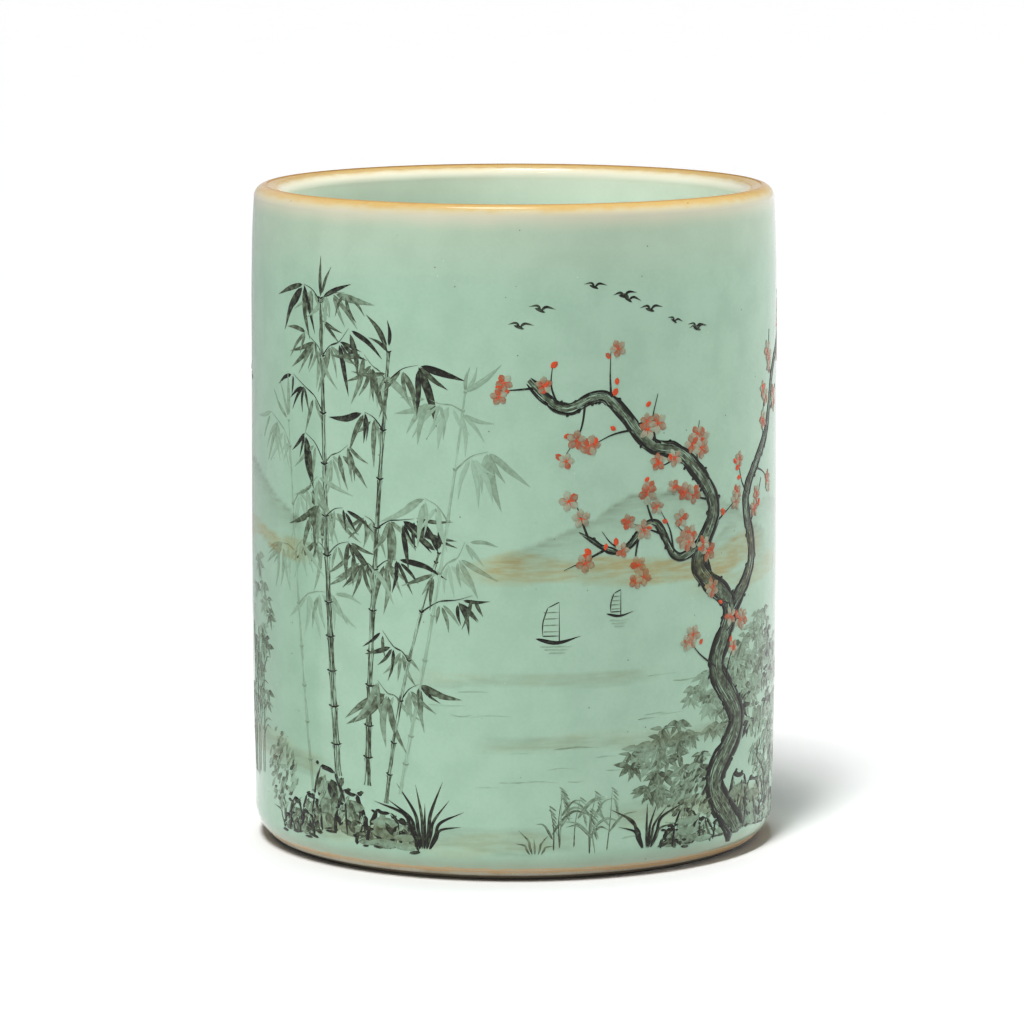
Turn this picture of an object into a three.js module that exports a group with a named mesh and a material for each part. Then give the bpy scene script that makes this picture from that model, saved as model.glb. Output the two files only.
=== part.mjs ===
// Brush pot: a turned porcelain cylinder with a luted floor, an unglazed foot ring and a dressed lip.
// Millimetres, +Z up. The origin is the middle of the circle that the foot stands on.
// The clay members come first, then the coats of glaze that lie on them.

import * as THREE from 'three';

// Overall size, measured over the glaze
const outerDiameter = 101;
const height = 126.5;
const wallThickness = 6.3;
const glazeThickness = 0.4;

// Lip: the wall leans in a little, then rounds over the crest
const lipLean = 0.3;
const lipLeanHeight = 9;
const lipOuterRound = 2.4;
const lipInnerRound = 2.2;
const lipRoundHeight = 2.6;

// Inside floor
const floorThickness = 6;
const floorCornerRadius = 3;

// Foot: the outside tucks in towards the ring that bears on the table
const footHeight = 4.8;
const footTuck = 2.8;
const footTuckHeight = 8;
const glazeLineHeight = 1.95;
const bearingWidth = 3.6;
const bearingChamfer = 0.6;

// Facets round the pot, and steps along each curved stretch of a profile
const facets = 64;
const tuckSteps = 4;
const leanSteps = 2;
const roundSteps = 4;

// Sizes that follow from the ones above
const outerRadius = outerDiameter / 2;
const innerRadius = outerRadius - wallThickness;
const clayInnerRadius = innerRadius + glazeThickness;
const roomForRound = (wallThickness - lipLean) / 2;
const outerRound = Math.min(lipOuterRound, roomForRound);
const innerRound = Math.min(lipInnerRound, roomForRound);
const lipRadius = outerRadius - lipLean;
const lipStart = height - lipRoundHeight;
const leanStart = lipStart - lipLeanHeight;
const floorClayTop = footHeight + floorThickness;
const floorTop = floorClayTop + glazeThickness;
const cornerTop = floorTop + floorCornerRadius;
const bearingOuterRadius = outerRadius - footTuck - glazeThickness;
const bearingInnerRadius = bearingOuterRadius - bearingWidth;
const recessRadius = bearingInnerRadius - bearingChamfer;

// Radius of the glazed outside at a height between the table and the lip's round
function outsideRadius(z) {
  const tuckShare = Math.max(0, 1 - z / footTuckHeight);
  const leanShare = Math.min(1, Math.max(0, (z - leanStart) / lipLeanHeight));
  return outerRadius - footTuck * tuckShare ** 2 - lipLean * leanShare ** 2;
}

// Evenly spaced numbers from low to high, both ends included
function spread(low, high, steps) {
  return Array.from({ length: steps + 1 }, (_, i) => low + ((high - low) * i) / steps);
}

// Heights at which every piece that shares the outside has a point, so that coats lie flat on the clay
const stations = [
  ...spread(0, footTuckHeight, tuckSteps),
  ...spread(leanStart, lipStart, leanSteps),
  glazeLineHeight,
  footHeight,
].sort((a, b) => a - b);

// The outside from one height up to another, moved in by an inset
function outside(low, high, inset) {
  const between = stations.filter((z) => z > low && z < high);
  return [low, ...between, high].map((z) => [outsideRadius(z) - inset, z]);
}

// The lip from its outer shoulder over the crest to its inner shoulder, moved in by an inset
function overLip(inset) {
  const quarter = spread(0, Math.PI / 2, roundSteps);
  const outer = quarter.map((a) => [
    lipRadius - outerRound + (outerRound - inset) * Math.cos(a),
    lipStart + (lipRoundHeight - inset) * Math.sin(a),
  ]);
  const inner = quarter.toReversed().map((a) => [
    innerRadius + innerRound - (innerRound - inset) * Math.cos(a),
    lipStart + (lipRoundHeight - inset) * Math.sin(a),
  ]);
  return [...outer, ...inner];
}

// The rounded corner between the inside wall and the floor, from the wall down
function floorCorner() {
  const centreRadius = innerRadius - floorCornerRadius;
  return spread(0, Math.PI / 2, roundSteps).map((a) => [
    centreRadius + floorCornerRadius * Math.cos(a),
    cornerTop - floorCornerRadius * Math.sin(a),
  ]);
}

// A piece turned about Z from a profile of [radius, height] points that goes round anticlockwise
function turned(name, profile, finish) {
  const onAxis = profile[0][0] === 0;
  const points = profile.map(([r, z]) => new THREE.Vector2(r, z));
  if (!onAxis) points.push(points[0].clone());
  const geometry = new THREE.LatheGeometry(points, facets);
  geometry.rotateX(Math.PI / 2);
  const mesh = new THREE.Mesh(geometry, new THREE.MeshStandardMaterial(finish));
  mesh.name = name;
  return mesh;
}

// A flat round slab from one height to another
function disc(name, radius, low, high, finish) {
  return turned(name, [[0, low], [radius, low], [radius, high], [0, high]], finish);
}

const porcelain = { color: 0xd8d2c4, roughness: 0.85, metalness: 0 };
const celadon = { color: 0xa6c4ae, roughness: 0.12, metalness: 0 };
const celadonInside = { color: 0xa9c8b2, roughness: 0.15, metalness: 0 };
const lipBrown = { color: 0xc9a66b, roughness: 0.3, metalness: 0 };

function wall() {
  const profile = [
    [clayInnerRadius, footHeight],
    ...outside(footHeight, lipStart, glazeThickness),
    ...overLip(glazeThickness).slice(1),
  ];
  return turned('wall', profile, porcelain);
}

function baseDisc() {
  return disc('base_disc', clayInnerRadius, footHeight, floorClayTop, porcelain);
}

function footRing() {
  const profile = [
    [bearingInnerRadius, 0],
    ...outside(0, footHeight, glazeThickness),
    [recessRadius, footHeight],
    [recessRadius, bearingChamfer],
  ];
  return turned('foot_ring', profile, porcelain);
}

function outerGlaze() {
  const surface = outside(glazeLineHeight, lipStart, 0);
  const underside = outside(glazeLineHeight, lipStart, glazeThickness).toReversed();
  return turned('outer_glaze', [...surface, ...underside], celadon);
}

function innerGlaze() {
  const profile = [
    [clayInnerRadius, cornerTop],
    [clayInnerRadius, lipStart],
    [innerRadius, lipStart],
    [innerRadius, cornerTop],
  ];
  return turned('inner_glaze', profile, celadonInside);
}

// The glaze lies thick in the corner, where it ran down and pooled
function floorGlaze() {
  const profile = [
    [0, floorClayTop],
    [clayInnerRadius, floorClayTop],
    [clayInnerRadius, cornerTop],
    ...floorCorner(),
    [0, floorTop],
  ];
  return turned('floor_glaze', profile, celadonInside);
}

function rimDressing() {
  const profile = [...overLip(0), ...overLip(glazeThickness).toReversed()];
  return turned('rim_dressing', profile, lipBrown);
}

function baseGlaze() {
  return disc('base_glaze', recessRadius, footHeight - glazeThickness, footHeight, celadonInside);
}

const pot = new THREE.Group();
pot.add(wall(), baseDisc(), footRing());
pot.add(outerGlaze(), innerGlaze(), floorGlaze(), rimDressing(), baseGlaze());

export default pot;
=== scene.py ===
"""The looks of a porcelain brush pot: celadon glaze, ochre-dressed lip, bare foot and a painting in enamels.

Sizes are in millimetres, and become metres only where a mesh is made. A place on the outside is given as
s and z: s runs round the pot from the middle of the front to the right, and z is the height above the table.
"""

import math
import random

import bpy
import numpy as np
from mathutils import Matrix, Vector


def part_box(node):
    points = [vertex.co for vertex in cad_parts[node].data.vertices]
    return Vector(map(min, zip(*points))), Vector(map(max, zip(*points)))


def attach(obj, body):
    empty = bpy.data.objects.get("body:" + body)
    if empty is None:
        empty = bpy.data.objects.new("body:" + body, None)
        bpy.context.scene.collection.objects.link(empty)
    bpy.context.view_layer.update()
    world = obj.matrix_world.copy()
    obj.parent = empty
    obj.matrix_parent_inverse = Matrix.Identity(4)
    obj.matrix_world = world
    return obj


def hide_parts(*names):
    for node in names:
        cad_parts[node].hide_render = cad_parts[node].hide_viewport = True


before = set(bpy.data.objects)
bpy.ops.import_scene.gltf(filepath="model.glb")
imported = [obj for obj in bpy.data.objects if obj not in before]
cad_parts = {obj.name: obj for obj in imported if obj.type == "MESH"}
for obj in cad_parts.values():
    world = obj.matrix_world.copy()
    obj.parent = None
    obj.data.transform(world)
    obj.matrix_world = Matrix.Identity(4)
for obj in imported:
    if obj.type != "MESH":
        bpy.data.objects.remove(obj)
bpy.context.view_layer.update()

MM = 0.001

# Sizes read from the frame
outer_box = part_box("outer_glaze")
lip_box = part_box("rim_dressing")
floor_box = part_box("floor_glaze")
base_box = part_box("base_glaze")
OUTER_RADIUS = outer_box[1].x / MM
GLAZE_LINE = outer_box[0].z / MM
LIP_RADIUS = lip_box[1].x / MM
LIP_START = lip_box[0].z / MM
HEIGHT = lip_box[1].z / MM
CLAY_INNER_RADIUS = floor_box[1].x / MM
CLAY_FLOOR = floor_box[0].z / MM
CORNER_TOP = floor_box[1].z / MM
RECESS_RADIUS = base_box[1].x / MM
BASE_LOW = base_box[0].z / MM
FOOT_HEIGHT = base_box[1].z / MM

# Sizes of the profile that the boxes don't show
GLAZE = 0.4
LEAN_HEIGHT = 9.0
OUTER_ROUND = 2.4
INNER_ROUND = 2.2
FOOT_TUCK = 2.8
FOOT_TUCK_HEIGHT = 8.0
CORNER_RADIUS = 3.0
BEARING_CHAMFER = 0.6
BEARING_WIDTH = 3.6

# What firing and the glaze add to that profile: a slight belly, a drawn-in lip and foot, and softer edges
BELLY = 0.22
BELLY_LOW, BELLY_HIGH = 14.0, 106.0
LIP_DRAW = 0.28
LIP_DRAW_HEIGHT = 20.0
FOOT_DRAW = 0.26
FOOT_DRAW_HEIGHT = 34.0
FIRED_TUCK = 3.0
FIRED_TUCK_HEIGHT = 6.5
OUTER_SHOULDER = (2.4, 2.3)
CREST_FALL = 0.16
INNER_SHOULDER_WIDTH = 3.4
FOOT_BEVEL = (1.7, 1.1)

# How far the burnt edge reaches down the bare clay, from the left to the right of the front
BURNT_NARROW, BURNT_WIDE = 0.2, 0.6

# The radii on the crest between which the looks of the outside give way to those of the inside
CREST_OUTER, CREST_INNER = 46.9, 45.3

# Sizes that follow from the ones above
INNER_RADIUS = CLAY_INNER_RADIUS - GLAZE
FLOOR = CLAY_FLOOR + GLAZE
LIP_LEAN = OUTER_RADIUS - LIP_RADIUS
AROUND = 2 * math.pi * OUTER_RADIUS

# How finely the turned surfaces are divided
COLUMNS = 480
ROW_STEP = 0.75
ARC_STEPS = 14


# Shader maths


class Socket:
    """A shader value. Operators on it add the Math nodes that work the result out."""

    def __init__(self, shader, link):
        self.shader = shader
        self.link = link

    def math(self, operation, first, second=0.0):
        return self.shader.add("ShaderNodeMath", {"operation": operation}, {0: first, 1: second})

    def __add__(self, other):
        return self.math("ADD", self, other)

    def __sub__(self, other):
        return self.math("SUBTRACT", self, other)

    def __rsub__(self, other):
        return self.math("SUBTRACT", other, self)

    def __mul__(self, other):
        return self.math("MULTIPLY", self, other)

    __radd__ = __add__
    __rmul__ = __mul__

    def size(self):
        return self.math("ABSOLUTE", self)

    def length(self):
        """How long a vector is."""
        return self.shader.add("ShaderNodeVectorMath", {"operation": "LENGTH"}, {0: self}, 1)

    def step(self, low, high, start=0.0, end=1.0):
        """Goes smoothly from start to end as the value goes from low to high."""
        inputs = {0: self, 1: low, 2: high, 3: start, 4: end}
        return self.shader.add("ShaderNodeMapRange", {"interpolation_type": "SMOOTHSTEP"}, inputs)

    def part(self, axis):
        """One axis of a vector."""
        return self.shader.add("ShaderNodeSeparateXYZ", {}, {0: self}, axis)

    def vector_math(self, operation, other):
        return self.shader.add("ShaderNodeVectorMath", {"operation": operation}, {0: self, 1: other})

    def toned(self, colour, factor, blend="MIX"):
        """This colour, mixed or multiplied with another by a factor."""
        return self.shader.blend(self, colour, factor, blend)


class Shader:
    """One material and the nodes in it."""

    def __init__(self, name, kept_in=bpy.data.materials):
        self.material = kept_in.new(name)
        self.material.use_nodes = True
        self.tree = self.material.node_tree
        self.tree.nodes.clear()

    def add(self, kind, settings, inputs, output=0):
        """Adds a node: its settings first, then the values or links of its sockets. Returns one output."""
        node = self.tree.nodes.new(kind)
        for name, value in settings.items():
            setattr(node, name, value)
        for name, value in inputs.items():
            if isinstance(value, Socket):
                self.tree.links.new(value.link, node.inputs[name])
            else:
                node.inputs[name].default_value = value
        return Socket(self, node.outputs[output]) if node.outputs else None

    def blend(self, first, second, factor, blend="MIX"):
        """One colour mixed or multiplied with another by a factor."""
        settings = {"data_type": "RGBA", "blend_type": blend}
        return self.add("ShaderNodeMix", settings, {0: factor, 6: first, 7: second}, 2)

    def place(self):
        """The place on the pot, in millimetres."""
        metres = self.add("ShaderNodeTexCoord", {}, {}, "Object")
        return metres.vector_math("MULTIPLY", (1 / MM, 1 / MM, 1 / MM))

    def attribute(self, name):
        return self.add("ShaderNodeAttribute", {"attribute_name": name}, {}, "Vector")

    def vector(self, x, y, z):
        return self.add("ShaderNodeCombineXYZ", {}, {0: x, 1: y, 2: z})

    def noise(self, place, size, detail=2.0):
        """Soft noise from 0 to 1 whose spots are about size across."""
        return self.add("ShaderNodeTexNoise", {}, {"Vector": place, "Scale": 1 / size, "Detail": detail})

    def specks(self, place, spacing, radius, share):
        """Small round specks, one in the middle of a share of the cells of a lattice."""
        inputs = {"Vector": place, "Scale": 1 / spacing}
        away = self.add("ShaderNodeTexVoronoi", {}, inputs, "Distance") * spacing
        draw = self.add("ShaderNodeTexVoronoi", {}, inputs, "Color").part(0)
        return away.step(radius, radius * 0.4) * draw.step(share, share - 0.02)

    def finish(self, colour, roughness, height, depth, **constants):
        """Ends the material in one surface, with a bump of height times depth."""
        bump = {"Distance": depth * MM, "Height": height}
        normal = self.add("ShaderNodeBump", {}, bump)
        inputs = {"Base Color": colour, "Roughness": roughness, "Normal": normal}
        inputs.update({name.replace("_", " "): value for name, value in constants.items()})
        surface = self.add("ShaderNodeBsdfPrincipled", {}, inputs)
        self.add("ShaderNodeOutputMaterial", {}, {"Surface": surface})
        return self.material


def shade(red, green, blue):
    """A colour from its display values, from 0 to 255, as the linear numbers that Blender wants."""
    shares = [x / 255 for x in (red, green, blue)]
    linear = [x / 12.92 if x <= 0.04045 else ((x + 0.055) / 1.055) ** 2.4 for x in shares]
    return (*linear, 1.0)


# Glaze, clay and enamels

CELADON_DEEP = shade(136, 166, 145)
CELADON_PALE = shade(143, 173, 152)
# Painted light: the inside glaze is much paler than the outside, to stand in for the light inside the pot
INSIDE_DEEP_PAINTED_LIGHT = shade(200, 221, 203)
INSIDE_PALE_PAINTED_LIGHT = shade(207, 227, 210)
CREAM = shade(190, 184, 162)
STRAW = shade(186, 170, 126)
OCHRE = shade(183, 152, 92)
EMBER = shade(176, 130, 69)
INSIDE_DRESSING = shade(206, 199, 177)
RUST = shade(176, 104, 42)
FOOT_GREY = shade(136, 141, 121)
IRON = shade(62, 50, 34)
PINHOLE = shade(214, 224, 212)
DILUTE_INK = shade(178, 172, 160)
FULL_INK = shade(22, 22, 18)
OCHRE_WASH = shade(255, 222, 190)
IRON_RED = shade(186, 66, 32)
DILUTE_RED = shade(236, 150, 128)
BARE_CLAY = shade(162, 157, 140)
BURNT_CLAY = shade(170, 136, 91)
CLAY_DUST = shade(118, 104, 82)
# Painted shade for the low bevel under the foot, and the deeper painted shade at its left end
FOOT_PAINTED_SHADE = shade(74, 66, 52)
FOOT_PAINTED_DEEP_SHADE = shade(30, 26, 20)


def inked(colour, density):
    """A colour under ink: thin ink tints it, and thick ink covers it."""
    tinted = colour.toned(DILUTE_INK, density * 2, "MULTIPLY")
    deep = tinted.toned(DILUTE_INK, density * 2 - 0.5, "MULTIPLY")
    return deep.toned(FULL_INK, density * 2 - 1)


def glaze_colour(sh, place):
    """The celadon, with painted light that makes it much paler inside, its mottling, washes, dressed lip,
    burnt edge and specks.
    """
    z = place.part(2)
    inward = place.vector_math("MULTIPLY", (1, 1, 0)).length().step(CREST_OUTER, CREST_INNER)
    mottle = sh.noise(place, 7, 5)
    grain = sh.noise(place, 0.7, 2)
    # Painted light: over the crest and inside, the glaze goes over to the much paler inside colours
    deep = sh.blend(CELADON_DEEP, INSIDE_DEEP_PAINTED_LIGHT, inward)
    pale = sh.blend(CELADON_PALE, INSIDE_PALE_PAINTED_LIGHT, inward)
    colour = deep.toned(pale, (mottle * 0.75 + grain * 0.25).step(0.34, 0.66))

    wash = sh.attribute("wash")
    brushed = sh.noise(place.vector_math("MULTIPLY", (0.5, 0.5, 3.0)), 2.2, 4).step(0.25, 0.75, 0.55, 1.2)
    colour = colour.toned(OCHRE_WASH, wash.part(1) * brushed, "MULTIPLY")
    colour = colour.toned(OCHRE_WASH, wash.part(1) * brushed - 0.6, "MULTIPLY")
    colour = inked(colour, wash.part(0) * brushed)

    colour = dressed(sh, place, inward, colour)

    low = z + sh.noise(place, 5, 3) * 1.6 - 0.8
    colour = colour.toned(FOOT_GREY, low.step(5.6, 2.5) * 0.6)
    creep = sh.noise(place.vector_math("MULTIPLY", (1, 1, 2)), 2.6, 3)
    edge = z - GLAZE_LINE + creep - 0.5
    colour = colour.toned(BURNT_CLAY, edge.step(0.8, 0.4) * 0.85)
    colour = colour.toned(BARE_CLAY, edge.step(0.35, 0.1) * 0.7)

    colour = colour.toned(IRON, sh.specks(place, 3.7, 0.19, 0.8) * 0.75)
    colour = colour.toned(RUST, sh.specks(place.vector_math("ADD", (31, 7, 3)), 13, 0.5, 0.25) * 0.7)
    return colour.toned(PINHOLE, sh.specks(place.vector_math("ADD", (5, 17, 9)), 3.1, 0.11, 0.6) * 0.6)


def dressed(sh, place, inward, colour):
    """The lip's dressing by depth below the crest: browner on the crest, then ochre, straw and cream."""
    below = (HEIGHT - place.part(2)) * (inward * 0.5 + 1)
    cloud = sh.noise(place.vector_math("MULTIPLY", (1, 1, 1.6)), 3.4, 3)
    patch = sh.noise(place, 9, 2)
    cream = sh.blend(CREAM, INSIDE_DRESSING, inward)
    veil = below + (patch - 0.5) * 1.6
    colour = colour.toned(cream, veil.step(18, 3) * (inward * 0.1 + 0.24))
    colour = colour.toned(cream, veil.step(5.4, 1.2) * 0.9)
    colour = colour.toned(STRAW, (below + (cloud - 0.5) * 0.9).step(2.2, 0.5))
    colour = colour.toned(OCHRE, (below + (cloud - 0.5) * 1.3).step(1.35, 0.2) * 0.9)
    colour = colour.toned(EMBER, cloud.step(0.5, 0.75) * below.step(1.1, 0.2) * 0.5)
    return colour.toned(EMBER, (below + (patch - 0.5) * 0.2).step(0.26, 0.03) * 0.5)


def glaze_height(sh, place):
    """The glaze's skin: a long soft waviness and fine orange peel."""
    return sh.noise(place, 17, 1) * 0.6 + sh.noise(place, 1.6, 2) * 0.04


def glaze_material(name):
    sh = Shader(name)
    place = sh.place()
    roughness = sh.noise(place, 6, 3).step(0.3, 0.7, 0.1, 0.17)
    return sh.finish(glaze_colour(sh, place), roughness, glaze_height(sh, place), 0.2, IOR=1.5)


def enamel_material(name, thin, full, roughness):
    """Brushed enamel: streaks where the brush ran dry, darker rims where it lay wet, and ragged edges."""
    sh = Shader(name)
    place = sh.place()
    load = sh.attribute("load")
    ink, dry = load.part(0), load.part(1)
    brush = sh.attribute("brush")
    along, across, side = brush.part(0), brush.part(1), brush.part(2).size()
    hairs = sh.noise(sh.vector(along * 0.22, across * 5.5, dry), 1.0, 2)
    pool = sh.noise(sh.vector(along * 0.9, across * 0.9, 4.0), 1.0, 3)
    edge = (side + hairs * 0.5 - 0.25).step(1.0, 0.78)
    gaps = (hairs - dry * 0.52).step(0.0, 0.12)
    rim = side.step(0.5, 0.85) * 0.22
    density = ink * (pool.step(0.25, 0.75, 0.66, 1.12) + rim) * edge * gaps
    colour = glaze_colour(sh, place)
    tinted = colour.toned(thin, density * 2, "MULTIPLY")
    tinted = tinted.toned(thin, density * 2 - 0.5, "MULTIPLY")
    painted = tinted.toned(full, density * 2.8 - 1.1)
    shine = density.step(0.2, 0.9, 0.14, roughness)
    return sh.finish(painted, shine, glaze_height(sh, place), 0.2, IOR=1.5, Specular_IOR_Level=0.25)


def clay_material(name):
    """Bare fired clay: burnt where the glaze ends, with dusty patches and fine turning lines, and painted
    shade on the low bevel where it stands, deepest towards the left.
    """
    sh = Shader(name)
    place = sh.place()
    z = place.part(2)
    grit = sh.noise(place, 0.35, 3)
    patch = sh.noise(place, 7, 3)
    rings = sh.noise(place.vector_math("MULTIPLY", (0.05, 0.05, 4.0)), 1.0, 3)
    colour = sh.blend(BARE_CLAY, CLAY_DUST, (patch * 0.6 + grit * 0.4).step(0.42, 0.72) * 0.6)
    reach = place.part(0).step(5, 38, BURNT_NARROW, BURNT_WIDE) + (patch - 0.5) * 0.7
    colour = colour.toned(BURNT_CLAY, (GLAZE_LINE - z - reach).step(0.22, -0.12) * 0.85)
    # Painted shade: the low bevel of the foot is darkened, more so towards the left, to stand in for the
    # shade under the foot
    painted_shade = sh.blend(FOOT_PAINTED_SHADE, FOOT_PAINTED_DEEP_SHADE, place.part(0).step(-18, -40))
    low = (z + (grit - 0.5) * 0.4).step(FOOT_BEVEL[1] + 0.1, FOOT_BEVEL[1] - 0.25)
    colour = colour.toned(painted_shade, low * 0.9)
    colour = colour.toned(IRON, sh.specks(place, 1.9, 0.13, 0.5) * 0.6)
    return sh.finish(colour, grit.step(0.2, 0.8, 0.7, 0.95), grit * 0.6 + rings * 0.4, 0.06)


# Turned pieces


def spread(low, high, steps):
    return [low + (high - low) * i / steps for i in range(steps + 1)]


def eased(x, low, high):
    """Goes smoothly from 0 to 1 as x goes from low to high."""
    t = np.clip((x - low) / (high - low), 0, 1)
    return t * t * (3 - 2 * t)


def laid_radius(z):
    """Radius of the clay's outside, which the coat lies on."""
    tuck = np.clip(1 - np.asarray(z, float) / FOOT_TUCK_HEIGHT, 0, 1)
    lean = np.clip((np.asarray(z, float) - LIP_START + LEAN_HEIGHT) / LEAN_HEIGHT, 0, 1)
    return OUTER_RADIUS - GLAZE - FOOT_TUCK * tuck**2 - LIP_LEAN * lean**2


def outside_radius(z):
    """Radius of the fired, glazed outside at each height between the table and the lip's round."""
    z = np.asarray(z, float)
    tuck = np.clip(1 - z / FIRED_TUCK_HEIGHT, 0, 1)
    lean = np.clip((z - LIP_START + LEAN_HEIGHT) / LEAN_HEIGHT, 0, 1)
    share = np.clip((z - BELLY_LOW) / (BELLY_HIGH - BELLY_LOW), 0, 1)
    belly = np.sin(math.pi * share**0.75) ** 2
    drawn = LIP_DRAW * eased(z, LIP_START - LIP_DRAW_HEIGHT, LIP_START)
    drawn = drawn + FOOT_DRAW * eased(-z, -FOOT_DRAW_HEIGHT, 0)
    return OUTER_RADIUS + BELLY * belly - FIRED_TUCK * tuck**2 - LIP_LEAN * lean**2 - drawn


def outside(low, high, inset=0.0, step=ROW_STEP, shape=outside_radius):
    """The outside from one height up to another, moved in by an inset."""
    heights = spread(low, high, max(1, round((high - low) / step)))
    return [(float(shape(z)) - inset, z) for z in heights]


def quarter(centre_radius, centre_height, width, height, start, end):
    """A quarter of an ellipse, between two angles in degrees."""
    angles = [math.radians(a) for a in spread(start, end, ARC_STEPS)]
    return [(centre_radius + width * math.cos(a), centre_height + height * math.sin(a)) for a in angles]


def over_lip():
    """The fired lip from its outer shoulder over the crest to its inner shoulder."""
    wide, high = OUTER_SHOULDER
    edge = float(outside_radius(LIP_START))
    outer = quarter(edge - wide, HEIGHT - high, wide, high, 0, 90)
    top = HEIGHT - CREST_FALL
    centre = INNER_RADIUS + INNER_SHOULDER_WIDTH
    inner = quarter(centre, LIP_START, INNER_SHOULDER_WIDTH, top - LIP_START, 90, 180)
    first, last = outer[-1][0], inner[0][0]
    crest = [(first * (1 - t) + last * t, HEIGHT - CREST_FALL * t * t) for t in (0.25, 0.5, 0.75)]
    return outside(LIP_START, HEIGHT - high, 0.0, 0.35)[:-1] + outer + crest + inner


def under_lip():
    """The clay of the lip, which the dressing lies on, the same way round."""
    rise = HEIGHT - LIP_START - GLAZE
    outer = quarter(LIP_RADIUS - OUTER_ROUND, LIP_START, OUTER_ROUND - GLAZE, rise, 0, 90)
    inner = quarter(INNER_RADIUS + INNER_ROUND, LIP_START, INNER_ROUND - GLAZE, rise, 90, 180)
    return outer + inner


def finished(name, points, faces, material, node=None):
    """Makes a piece from points in millimetres, smooth but for its sharp edges, and puts it in the frame."""
    mesh = bpy.data.meshes.new(name)
    mesh.from_pydata((np.asarray(points) * MM).tolist(), [], faces)
    mesh.materials.append(material)
    mesh.shade_smooth()
    mesh.set_sharp_from_angle(angle=math.radians(50))
    piece = bpy.data.objects.new(name, mesh)
    bpy.context.scene.collection.objects.link(piece)
    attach(piece, "root")
    if node:
        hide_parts(node)
    return piece


def turned(name, profile, material, node):
    """A piece turned about Z from points of radius and height that go round anticlockwise.
    A profile that starts on the axis ends on it too; any other closes on itself."""
    on_axis = profile[0][0] == 0
    rim = profile[1:-1] if on_axis else profile
    angles = np.arange(COLUMNS) * 2 * math.pi / COLUMNS
    radii, heights = np.array(rim).T
    x = radii[:, None] * np.sin(angles)
    y = -radii[:, None] * np.cos(angles)
    points = np.stack([x, y, np.repeat(heights[:, None], COLUMNS, 1)], -1).reshape(-1, 3).tolist()
    after = [(c + 1) % COLUMNS for c in range(COLUMNS)]
    rows = [(i, i + 1) for i in range(len(rim) - 1)]
    if not on_axis:
        rows.append((len(rim) - 1, 0))
    faces = []
    for low, high in rows:
        a, b = low * COLUMNS, high * COLUMNS
        faces += [(a + c, a + d, b + d, b + c) for c, d in enumerate(after)]
    if on_axis:
        last = (len(rim) - 1) * COLUMNS
        faces += [(len(points), d, c) for c, d in enumerate(after)]
        faces += [(len(points) + 1, last + c, last + d) for c, d in enumerate(after)]
        points += [(0, 0, profile[0][1]), (0, 0, profile[-1][1])]
    return finished(name, points, faces, material, node)


def coats_and_foot():
    """The glaze coats, the dressed lip and the bare foot ring. Returns the coat that is painted on."""
    glaze = glaze_material("celadon_glaze")
    clay = clay_material("bare_porcelain")
    roll = quarter(float(outside_radius(GLAZE_LINE)) - GLAZE, GLAZE_LINE + 0.3, GLAZE, 0.3, -90, 0)
    skin = roll + outside(GLAZE_LINE + 0.3 + ROW_STEP / 2, LIP_START, 0)
    under = outside(GLAZE_LINE + 0.3, LIP_START, 0.0, 8, laid_radius)[::-1]
    outer = turned("outer_coat", skin + under, glaze, "outer_glaze")
    turned("lip_coat", over_lip() + under_lip()[::-1], glaze, "rim_dressing")

    wall_rows = spread(CORNER_TOP, LIP_START, 60)
    lining = [(CLAY_INNER_RADIUS, CORNER_TOP), (CLAY_INNER_RADIUS, LIP_START)]
    lining += [(INNER_RADIUS, z) for z in wall_rows[::-1]]
    turned("inner_coat", lining, glaze, "inner_glaze")
    corner = quarter(INNER_RADIUS - CORNER_RADIUS, CORNER_TOP, CORNER_RADIUS, CORNER_RADIUS, 0, -90)
    flat = [(r, FLOOR) for r in spread(INNER_RADIUS - CORNER_RADIUS, 0, 30)[1:]]
    floor = [(0, CLAY_FLOOR), (CLAY_INNER_RADIUS, CLAY_FLOOR), (CLAY_INNER_RADIUS, CORNER_TOP)]
    turned("floor_coat", floor + corner + flat, glaze, "floor_glaze")
    base = [(r, BASE_LOW) for r in spread(0, RECESS_RADIUS, 30)]
    base += [(RECESS_RADIUS, FOOT_HEIGHT), (0, FOOT_HEIGHT)]
    turned("base_coat", base, glaze, "base_glaze")

    bearing_inner = OUTER_RADIUS - FOOT_TUCK - GLAZE - BEARING_WIDTH
    side = outside(FOOT_BEVEL[1], FOOT_HEIGHT, GLAZE, 0.3)
    bearing_outer = side[0][0] - FOOT_BEVEL[0]
    ring = [(r, 0) for r in spread(bearing_inner, bearing_outer, 4)]
    ring += [(bearing_outer + FOOT_BEVEL[0] * 0.55, FOOT_BEVEL[1] * 0.45)] + side
    ring += [(RECESS_RADIUS, FOOT_HEIGHT), (RECESS_RADIUS, BEARING_CHAMFER)]
    turned("foot_clay", ring, clay, "foot_ring")
    for node in ("wall", "base_disc"):
        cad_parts[node].material_slots[0].material = clay
    return outer


# Washes, which lie in the coat itself


def cloudy(s, z, size, seed):
    """Soft noise from 0 to 1 on the outside, in spots of about a size, that joins up behind the pot."""
    columns = max(3, round(AROUND / size))
    lattice = np.random.default_rng(seed).random((round(HEIGHT / size) + 3, columns))
    x = (np.asarray(s) / AROUND % 1) * columns
    y = np.clip(np.asarray(z) / size, 0, lattice.shape[0] - 2)
    i, j = np.floor(x).astype(int) % columns, np.floor(y).astype(int)
    u, v = x - np.floor(x), y - j
    u, v = u * u * (3 - 2 * u), v * v * (3 - 2 * v)
    low = lattice[j, i] * (1 - u) + lattice[j, (i + 1) % columns] * u
    high = lattice[j + 1, i] * (1 - u) + lattice[j + 1, (i + 1) % columns] * u
    return low * (1 - v) + high * v


def off(s, middle):
    """How far s lies from a place, the short way round the pot."""
    return (np.asarray(s) - middle + AROUND / 2) % AROUND - AROUND / 2


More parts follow.
